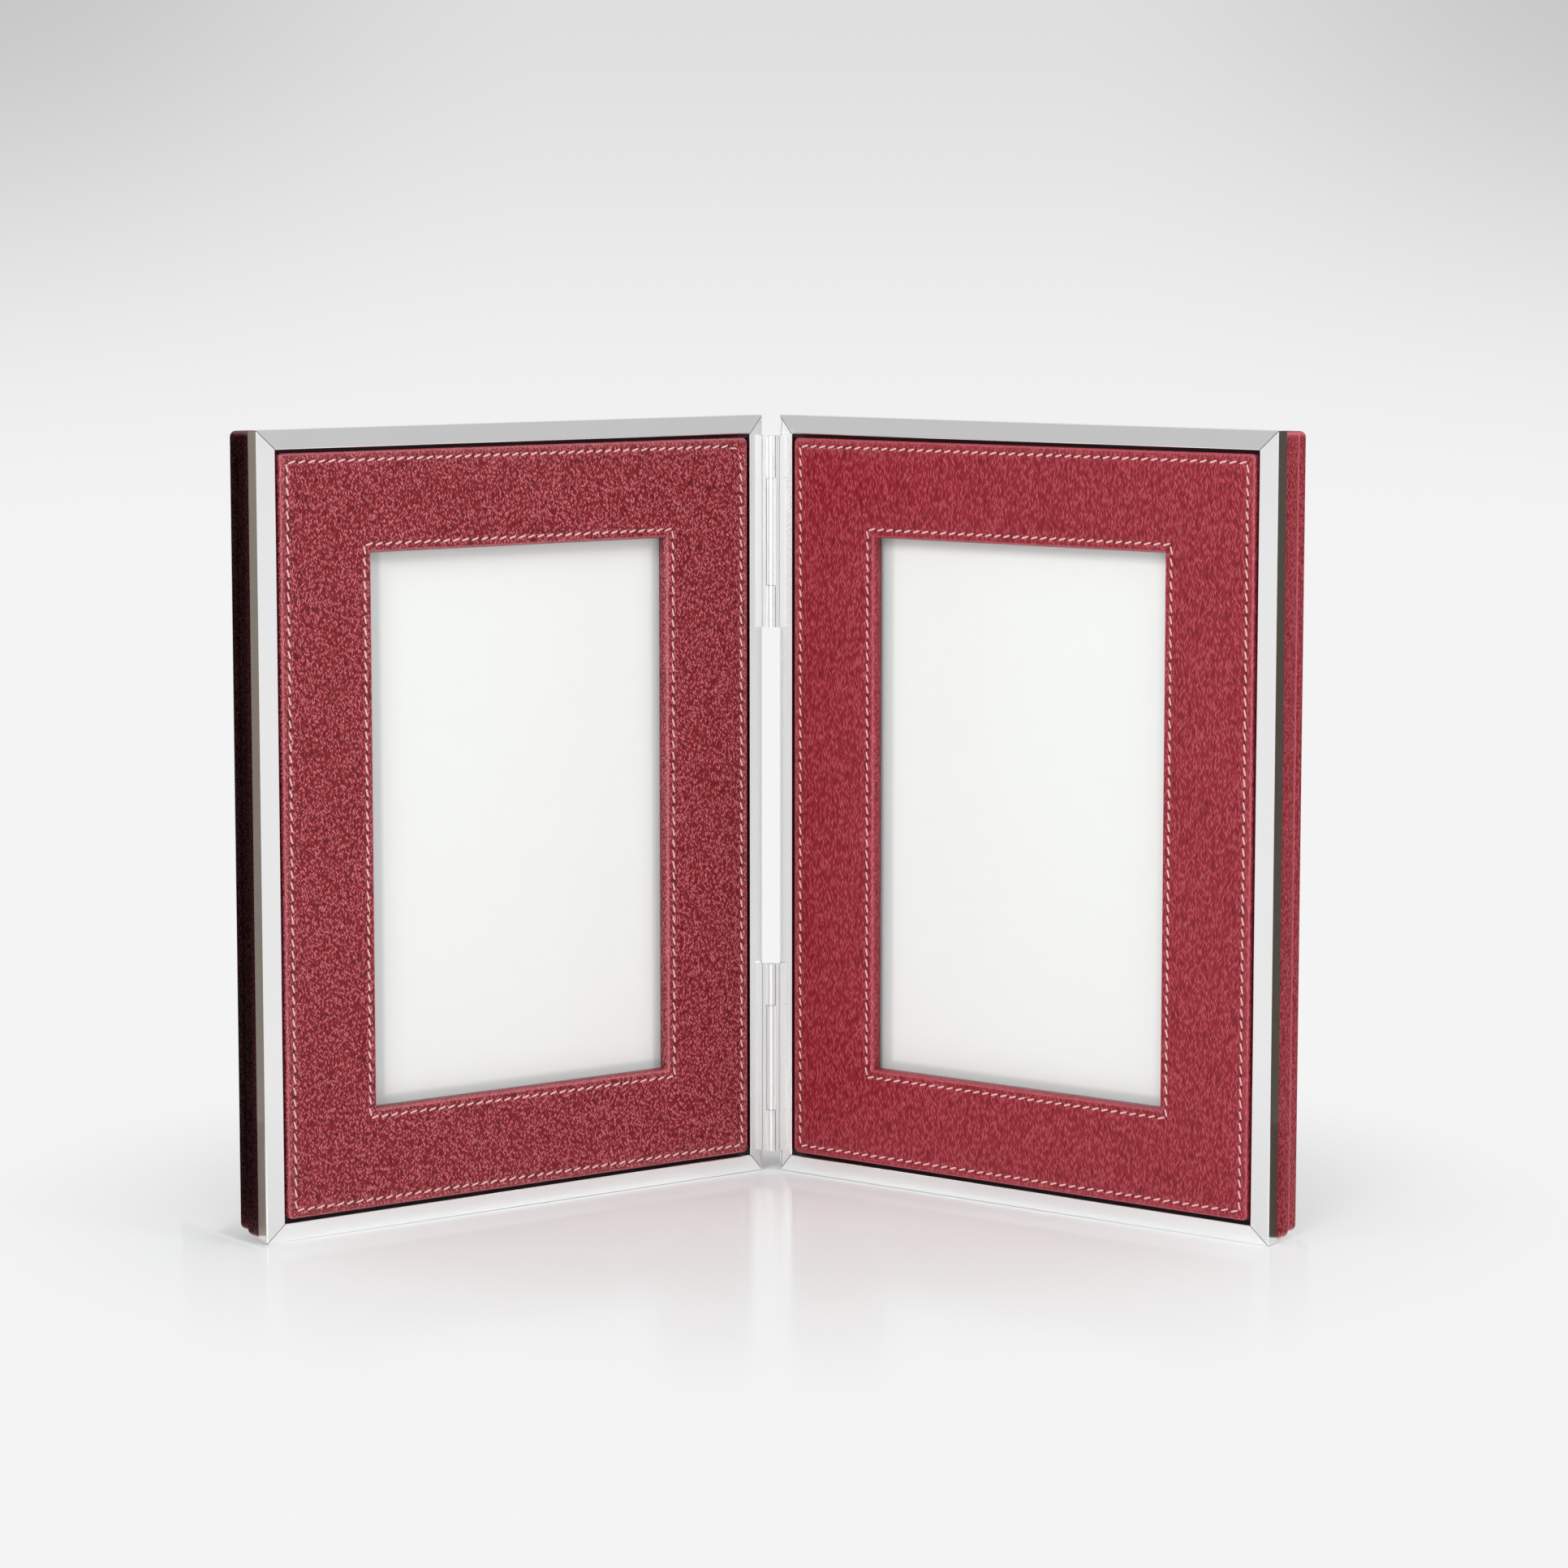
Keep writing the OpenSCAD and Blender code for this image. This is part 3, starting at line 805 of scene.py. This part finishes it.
@dataclass
class StitchLine:
    """One line of saddle stitches round the mat, with the needle holes between them, drawn as dark marks of painted
    shade.
    """

    leaf: LeafFrame
    name: str
    inset: float
    surface: float  # how far below the mat's face the groove's floor lies
    pitch: float = 3.0 * MM
    length: float = 2.25 * MM
    thread: float = 0.64 * MM
    dive: float = 0.12 * MM  # how far a stitch is let down
    slant: float = 17.0  # degrees by which a stitch leans across the line
    hole: float = 0.26 * MM
    pinch: tuple[float, float, float] = (1.25, 1, 0.8)  # how a hole is drawn out along the line
    lifts: tuple[float, float] = (0.02 * MM, 0.04 * MM)  # of stitches and holes above the groove's floor
    rounded: float = 0.0  # radius of the line's one rounded corner

    def model_stitch(self) -> bpy.types.Object:
        """Models one stitch: a short straight thread with round ends, let down into the groove."""
        bpy.ops.object.select_all(action="DESELECT")
        bpy.ops.mesh.primitive_uv_sphere_add(
            segments=8, ring_count=6, radius=self.thread / 2, rotation=(0, math.radians(90), 0)
        )
        obj = bpy.context.object
        bpy.ops.object.transform_apply(location=True, rotation=True, scale=True)
        reach = (self.length - self.thread) / 2
        for way in (-1, 1):  # the middle ring goes with the first half
            pick(obj, Part.VERT, lambda co, n: co.x * way > HAIR * way)
            bpy.ops.transform.translate(value=(reach * way, self.dive, 0))
        bpy.ops.object.mode_set(mode="OBJECT")
        return obj

    def model_hole(self) -> bpy.types.Object:
        """Models one needle hole: a shallow lozenge, pinched at its middle, whose dark colour is painted shade."""
        bpy.ops.object.select_all(action="DESELECT")
        bpy.ops.mesh.primitive_circle_add(
            vertices=8, radius=self.hole, fill_type="NGON", rotation=(math.radians(90), 0, 0)
        )
        obj = bpy.context.object
        bpy.ops.object.transform_apply(location=True, rotation=True, scale=True)
        bpy.ops.object.mode_set(mode="EDIT")
        bpy.ops.mesh.select_all(action="SELECT")
        bpy.ops.transform.resize(value=self.pinch)
        bpy.ops.mesh.poke(offset=HAIR)
        bpy.ops.object.mode_set(mode="OBJECT")
        return obj

    def path(self) -> Iterator[tuple[float, float, float, float, int]]:
        """Walks round the line.

        Yields:
            Start x and z of a run, its heading in degrees, its length, and the number of stitches in it.
        """
        low, high = self.leaf.box("mat_leather")
        inset = Vector((upright_inset(self.inset), 0, self.inset))
        low, high = low + inset, high - inset
        corners = [(low.x, low.z), (high.x, low.z), (high.x, high.z), (low.x, high.z)]
        arc = self.rounded
        for i, (x, z) in enumerate(corners):
            next_x, next_z = corners[(i + 1) % 4]
            run = abs(next_x - x) + abs(next_z - z)
            heading = 90.0 * i
            dx, dz = math.cos(math.radians(heading)), math.sin(math.radians(heading))
            start, end = (arc if i == 3 else 0.0), (arc if i == 2 else 0.0)
            length = run - start - end
            yield x + dx * start, z + dz * start, heading, length, round(length / self.pitch)
            if i == 2 and arc:
                steps = max(2, round(arc * math.pi / 2 / self.pitch))
                for k in range(steps):
                    a, b = (math.radians(90 + 90 * t / steps) for t in (k, k + 1))
                    cx, cz = next_x + arc, next_z - arc
                    ax, az = cx + arc * math.cos(a), cz + arc * math.sin(a)
                    bx, bz = cx + arc * math.cos(b), cz + arc * math.sin(b)
                    yield ax, az, math.degrees(math.atan2(bz - az, bx - ax)), math.hypot(bx - ax, bz - az), 1

    def copies(
        self, model: bpy.types.Object, name: str, shift: float, lift: float, slanted: bool
    ) -> bpy.types.Object:
        """Copies a model along the line and joins the copies.

        Args:
            model: The stitch or hole at the origin.
            name: The joined piece's name.
            shift: Where in the pitch a copy stands, from 0 to 1.
            lift: How far in front of the groove's floor a copy stands.
            slanted: Whether the copies lean across the line.

        Returns:
            The joined piece, in leaf coordinates.
        """
        front = self.leaf.box("mat_leather")[0].y + self.surface - lift
        made = []
        for x, z, heading, length, count in self.path():
            dx, dz = math.cos(math.radians(heading)), math.sin(math.radians(heading))
            flat = math.radians(heading % 180 + (self.slant * self.leaf.hand if slanted else 0))
            for k in range(count):
                along = length * (k + shift) / count
                spot = Matrix.Translation((x + dx * along, front, z + dz * along)) @ Matrix.Rotation(-flat, 4, "Y")
                copy = bpy.data.objects.new(name, model.data.copy())
                copy.data.transform(spot)
                bpy.context.collection.objects.link(copy)
                made.append(copy)
        bpy.data.objects.remove(model)
        bpy.ops.object.select_all(action="DESELECT")
        for copy in made:
            copy.select_set(True)
        bpy.context.view_layer.objects.active = made[0]
        bpy.ops.object.join()
        made[0].name = made[0].data.name = name
        LOG.info("%s: %d copies", name, len(made))
        return made[0]

    def build(self) -> None:
        """Models the stitches and their holes, and lets both ride with the leaf."""
        side = self.leaf.side.value
        low, high = self.lifts
        stitches = self.copies(self.model_stitch(), f"{side}_{self.name}_stitches", 0.5, low, slanted=True)
        holes = self.copies(self.model_hole(), f"{side}_{self.name}_needle_holes", 0.0, high, slanted=False)
        for obj, finish in ((stitches, WaxedThread()), (holes, NEEDLE_HOLE_SHADE)):
            take(obj)
            obj.data.transform(self.leaf.to_row())
            if self.leaf.side is Side.LEFT:
                bpy.ops.object.mode_set(mode="EDIT")
                bpy.ops.mesh.select_all(action="SELECT")
                bpy.ops.mesh.flip_normals()
                bpy.ops.object.mode_set(mode="OBJECT")
            bpy.ops.object.shade_smooth_by_angle(angle=math.radians(60))
            dress(obj, finish)
            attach(obj, f"{side}_leaf")


# Sub-assemblies


@dataclass
class Leaf:
    """One frame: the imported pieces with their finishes, the leather covers and both stitch lines."""

    side: Side
    rounded_corner: float = 0.0  # radius of the outer stitch line's rounded corner
    place: LeafFrame = field(init=False)

    def __post_init__(self) -> None:
        """Reads where the leaf lies."""
        self.place = LeafFrame.read(self.side)

    def build(self) -> None:
        """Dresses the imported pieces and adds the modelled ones."""
        for name, finish in NODE_FINISHES.items():
            dress(self.place.node(name), finish)
            LOG.info("%s_%s: %s", self.side.value, name, finish.title)
        leaf_body, panel_body = f"{self.side.value}_leaf", f"{self.side.value}_back_panel"
        mat = MatCover(self.place, body=leaf_body)
        mat.build()
        BandCover(self.place, body=leaf_body).build()
        PanelCover(self.place, body=panel_body).build()
        Picture(self.place).build()
        outer, inner = mat.stitch_insets
        depth = mat.depth_at(outer)
        StitchLine(self.place, "outer", outer, depth, rounded=self.rounded_corner).build()
        StitchLine(self.place, "inner", inner, depth).build()


@dataclass
class Hinges:
    """The two butt hinges between the leaves."""

    finish: Finish = SilverPlate("Buffed silver plate, brushed", gloss=0.42)

    def build(self) -> None:
        """Gives flaps and pins the plating of the rails beside them."""
        for level in ("upper", "lower"):
            for piece in ("left_flap", "right_flap", "pin"):
                dress(frame["nodes"][f"{level}_hinge_{piece}"], self.finish)
                LOG.info("%s_hinge_%s: %s", level, piece, self.finish.title)


# Studio


@dataclass(frozen=True)
class PaleSweep(Finish):
    """White acrylic sheet, curved up at the back: it mirrors softly near the frame, and past it glows pale, with
    painted shade towards the top and its upper corners.
    """

    title: str = "White acrylic sheet"
    tone: str = "#F5F8F8"
    ground: str = "#F4F4F4"
    # painted shade on the glowing ground: towards the top, and more in the upper corners
    top: str = "#DEDEDE"
    top_corner: str = "#C6C6C6"
    near: float = 0.05  # m from the middle, where the plain ground begins to show
    far: float = 0.24  # m, where it shows alone
    height: float = 0.5  # m, where the shade at the top is full
    middle: float = 0.2  # m to each side, where the shade of the corners begins
    side: float = 0.75  # m, where it is full
    gloss: float = 0.13
    ior: float = 1.49
    shine: float = 0.05  # kept low, so the floor mirrors the frame faintly

    def surface(self, tree: bpy.types.NodeTree) -> bpy.types.NodeSocket:
        """A lit sheet near the frame. Past it, what the eye, the metal and the glass see is a glowing pale ground,
        with painted shade towards the top and in its upper corners.
        """
        links = {
            "Base Color": srgb(self.tone),
            "Roughness": self.gloss,
            "IOR": self.ior,
            "Specular IOR Level": self.shine,
        }
        sheet = add_node(tree, "ShaderNodeBsdfPrincipled", links)
        place = add_node(tree, "ShaderNodeTexCoord").outputs["Object"]
        apart = add_node(tree, "ShaderNodeSeparateXYZ", {"Vector": place})
        flat = add_node(tree, "ShaderNodeVectorMath", {0: place, 1: (1, 1, 0)}, operation="MULTIPLY")
        reach = add_node(tree, "ShaderNodeVectorMath", {0: flat.outputs["Vector"]}, operation="LENGTH")
        aside = add_node(tree, "ShaderNodeMath", {0: apart.outputs["X"]}, operation="ABSOLUTE")
        steps = []
        for value, low, high in (
            (aside.outputs[0], self.middle, self.side),
            (apart.outputs["Z"], 0.0, self.height),
            (reach.outputs["Value"], self.near, self.far),
        ):
            step = add_node(
                tree, "ShaderNodeMapRange", {"Value": value, 1: low, 2: high}, interpolation_type="SMOOTHSTEP"
            )
            steps.append(step.outputs["Result"])
        corner, height, away = steps
        links = {0: corner, 6: srgb(self.top), 7: srgb(self.top_corner)}
        upper = add_node(tree, "ShaderNodeMix", links, data_type="RGBA")
        links = {0: height, 6: srgb(self.ground), 7: upper.outputs[2]}
        shade = add_node(tree, "ShaderNodeMix", links, data_type="RGBA")
        glow = add_node(tree, "ShaderNodeEmission", {"Color": shade.outputs[2], "Strength": 1.0})
        path = add_node(tree, "ShaderNodeLightPath")
        seen = path.outputs["Is Camera Ray"]
        for ray in ("Is Glossy Ray", "Is Transmission Ray"):
            seen = add_node(tree, "ShaderNodeMath", {0: seen, 1: path.outputs[ray]}, operation="MAXIMUM").outputs[0]
        share = add_node(tree, "ShaderNodeMath", {0: seen, 1: away}, operation="MULTIPLY")
        links = {0: share.outputs[0], 1: sheet.outputs[0], 2: glow.outputs[0]}
        return add_node(tree, "ShaderNodeMixShader", links).outputs[0]


@dataclass(frozen=True)
class CardFelt(Finish):
    """Felt on a studio card, in the tone that the polished metal is to mirror."""

    tone: str

    def surface(self, tree: bpy.types.NodeTree) -> bpy.types.NodeSocket:
        """Plain and without shine."""
        links = {"Base Color": srgb(self.tone), "Roughness": 1.0, "Specular IOR Level": 0.0}
        return add_node(tree, "ShaderNodeBsdfPrincipled", links).outputs["BSDF"]


@dataclass(frozen=True)
class Lamp:
    """A softbox: its place, its aim, its size in metres and its power in watts."""

    name: str
    place: tuple[float, float, float]
    aim: tuple[float, float, float]
    size: tuple[float, float]
    power: float

    def build(self) -> None:
        """Adds the lamp."""
        bpy.ops.object.light_add(type="AREA", location=self.place)
        lamp = bpy.context.object
        lamp.name = self.name
        lamp.data.shape = "RECTANGLE"
        lamp.data.size, lamp.data.size_y = self.size
        lamp.data.energy = self.power
        lamp.rotation_euler = (Vector(self.aim) - Vector(self.place)).to_track_quat("-Z", "Y").to_euler()


@dataclass(frozen=True)
class Flag:
    """A card that the camera doesn't see: one that the metal mirrors, or one that keeps the lamps off."""

    name: str
    place: tuple[float, float, float]
    aim: tuple[float, float, float]
    size: tuple[float, float]
    tone: str
    shades: bool = False

    def build(self) -> None:
        """Adds the card, facing its aim."""
        bpy.ops.object.select_all(action="DESELECT")
        bpy.ops.mesh.primitive_plane_add(size=1)
        board = bpy.context.object
        board.name = self.name
        turn = (Vector(self.aim) - Vector(self.place)).to_track_quat("Z", "Y").to_matrix().to_4x4()
        board.data.transform(Matrix.Translation(self.place) @ turn @ Matrix.Diagonal((*self.size, 1, 1)))
        board.visible_camera = False
        board.visible_diffuse = board.visible_shadow = self.shades
        board.visible_glossy = not self.shades
        dress(board, CardFelt(f"Card felt {self.tone[1:]}", self.tone))


@dataclass
class Studio:
    """Floor, lamps, flags, world and camera."""

    half_width: float = 6.0
    front: float = -6.0
    bend_start: float = 1.8
    bend_radius: float = 1.6
    bend_steps: int = 32
    wall: float = 3.0
    drop: float = 0.05 * MM  # how far below the frame's feet the sheet lies
    ambient: float = 0.56  # the air's strength as light
    mirrored: float = 0.6  # as the metal and the leather mirror it
    horizon: float = 0.905  # as the eye sees it
    lamps: tuple[Lamp, ...] = (
        Lamp("Key softbox", (-0.7, -1.8, 1.3), (0.0, 0.0, 0.1), (0.8, 0.8), 16.0),
        Lamp("Front fill", (0.25, -2.3, 0.4), (0.0, 0.0, 0.1), (0.5, 0.3), 6.0),
        Lamp("Right softbox", (1.3, -0.9, 1.2), (0.0, 0.0, 0.1), (0.4, 0.5), 7.0),
        Lamp("Left softbox", (-1.3, -0.9, 1.2), (0.0, 0.0, 0.1), (0.4, 0.5), 3.0),
    )
    flags: tuple[Flag, ...] = (
        Flag("Right flag", (0.237, -0.014, 0.11), (0.132, -0.054, 0.11), (0.05, 0.21), "#5C554C"),
        Flag("Right foot flag", (0.1387, -0.0483, 0.015), (0.1275, -0.0525, 0.015), (0.007, 0.03), "#5C554C"),
        Flag("Left foot flag", (-0.1386, -0.048, 0.015), (-0.1275, -0.0525, 0.015), (0.007, 0.03), "#E2D6C8"),
        Flag("Left flag", (-0.237, -0.017, 0.11), (-0.132, -0.054, 0.11), (0.05, 0.21), "#9C9389"),
    )
    camera_offset: tuple[float, float, float] = (0.01361, -1.28434, 0.26358)  # from the hinge axis
    camera_yaw: float = -0.4472
    camera_pitch: float = 6.8899
    lens: float = 107.62
    sensor: float = 36.0
    clip: tuple[float, float] = (0.01, 60.0)
    card_tone: str = "#200A0C"
    card_height: float = 226.0  # mm
    card_middle: float = 114.0  # mm above the floor
    side_cards: tuple[tuple[str, float, float, float, bool], ...] = (  # mm outwards, mm back, mm wide
        ("Side shade", 165, 11, 24, True),
        ("Side flag", 162, 27, 36, False),
    )

    def build_sweep(self) -> None:
        """Models the sheet: a floor whose back edge is spun up into a wall."""
        bpy.ops.object.select_all(action="DESELECT")
        bpy.ops.mesh.primitive_plane_add(size=1)
        sweep = bpy.context.object
        sweep.name = "Pale sweep"
        length = self.bend_start - self.front
        middle = (self.bend_start + self.front) / 2
        sweep.data.transform(
            Matrix.Translation((0, middle, -self.drop)) @ Matrix.Diagonal((2 * self.half_width, length, 1, 1))
        )
        take(sweep)
        pick(sweep, Part.EDGE, lambda a, b: min(a.y, b.y) > self.bend_start - MM)
        centre = (0, self.bend_start, self.bend_radius)
        bpy.ops.mesh.spin(steps=self.bend_steps, angle=-math.radians(90), center=centre, axis=(1, 0, 0))
        bpy.ops.mesh.extrude_region_move(TRANSFORM_OT_translate={"value": (0, 0, self.wall)})
        finish_mesh(sweep, angle=60)
        dress(sweep, PaleSweep())

    def build_world(self) -> None:
        """Lights the set evenly from all round."""
        world = bpy.data.worlds.new("Studio air")
        world.use_nodes = True
        tree = world.node_tree
        tree.nodes.clear()
        path = add_node(tree, "ShaderNodeLightPath")
        strength = self.ambient
        for ray, level in (("Is Glossy Ray", self.mirrored), ("Is Camera Ray", self.horizon)):
            links = {"Value": path.outputs[ray], 3: strength, 4: level}
            strength = add_node(tree, "ShaderNodeMapRange", links).outputs["Result"]
        air = add_node(tree, "ShaderNodeBackground", {"Color": (1, 1, 1, 1), "Strength": strength})
        add_node(tree, "ShaderNodeOutputWorld", {"Surface": air.outputs[0]})
        bpy.context.scene.world = world

    def build_side_cards(self) -> None:
        """Holds dark red cards beside the left outer side: one keeps the light off its leather, one is mirrored."""
        to_row = LeafFrame.read(Side.LEFT).to_row()
        for name, out, depth, width, shades in self.side_cards:
            place, aim = (tuple(to_row @ (Vector((x, depth, self.card_middle)) * MM)) for x in (out, 0))
            Flag(name, place, aim, (width * MM, self.card_height * MM), self.card_tone, shades).build()

    def build_camera(self) -> None:
        """Sets the camera where the photograph was taken from."""
        yaw, pitch = math.radians(self.camera_yaw), math.radians(self.camera_pitch)
        ahead = Vector((math.sin(yaw) * math.cos(pitch), math.cos(yaw) * math.cos(pitch), -math.sin(pitch)))
        place = Vector(LeafFrame.read(Side.RIGHT).axis) + Vector(self.camera_offset)
        bpy.ops.object.camera_add(location=place, rotation=ahead.to_track_quat("-Z", "Y").to_euler())
        camera = bpy.context.object
        camera.data.lens, camera.data.sensor_width = self.lens, self.sensor
        camera.data.clip_start, camera.data.clip_end = self.clip
        bpy.context.scene.camera = camera

    def build(self) -> None:
        """Sets up the whole studio."""
        self.build_sweep()
        self.build_world()
        self.build_camera()
        self.build_side_cards()
        for piece in (*self.lamps, *self.flags):
            piece.build()
        bpy.context.scene.view_settings.view_transform = "Standard"
        LOG.info("studio: %d lamps, %d flags", len(self.lamps), len(self.flags))


def main() -> None:
    """Builds both leaves, the hinges and the studio, and notes the sizes."""
    logging.basicConfig(level=logging.INFO, format="%(message)s")
    Leaf(Side.LEFT, rounded_corner=4 * MM).build()
    Leaf(Side.RIGHT).build()
    Hinges().build()
    Studio().build()


if __name__ == "__main__":
    main()
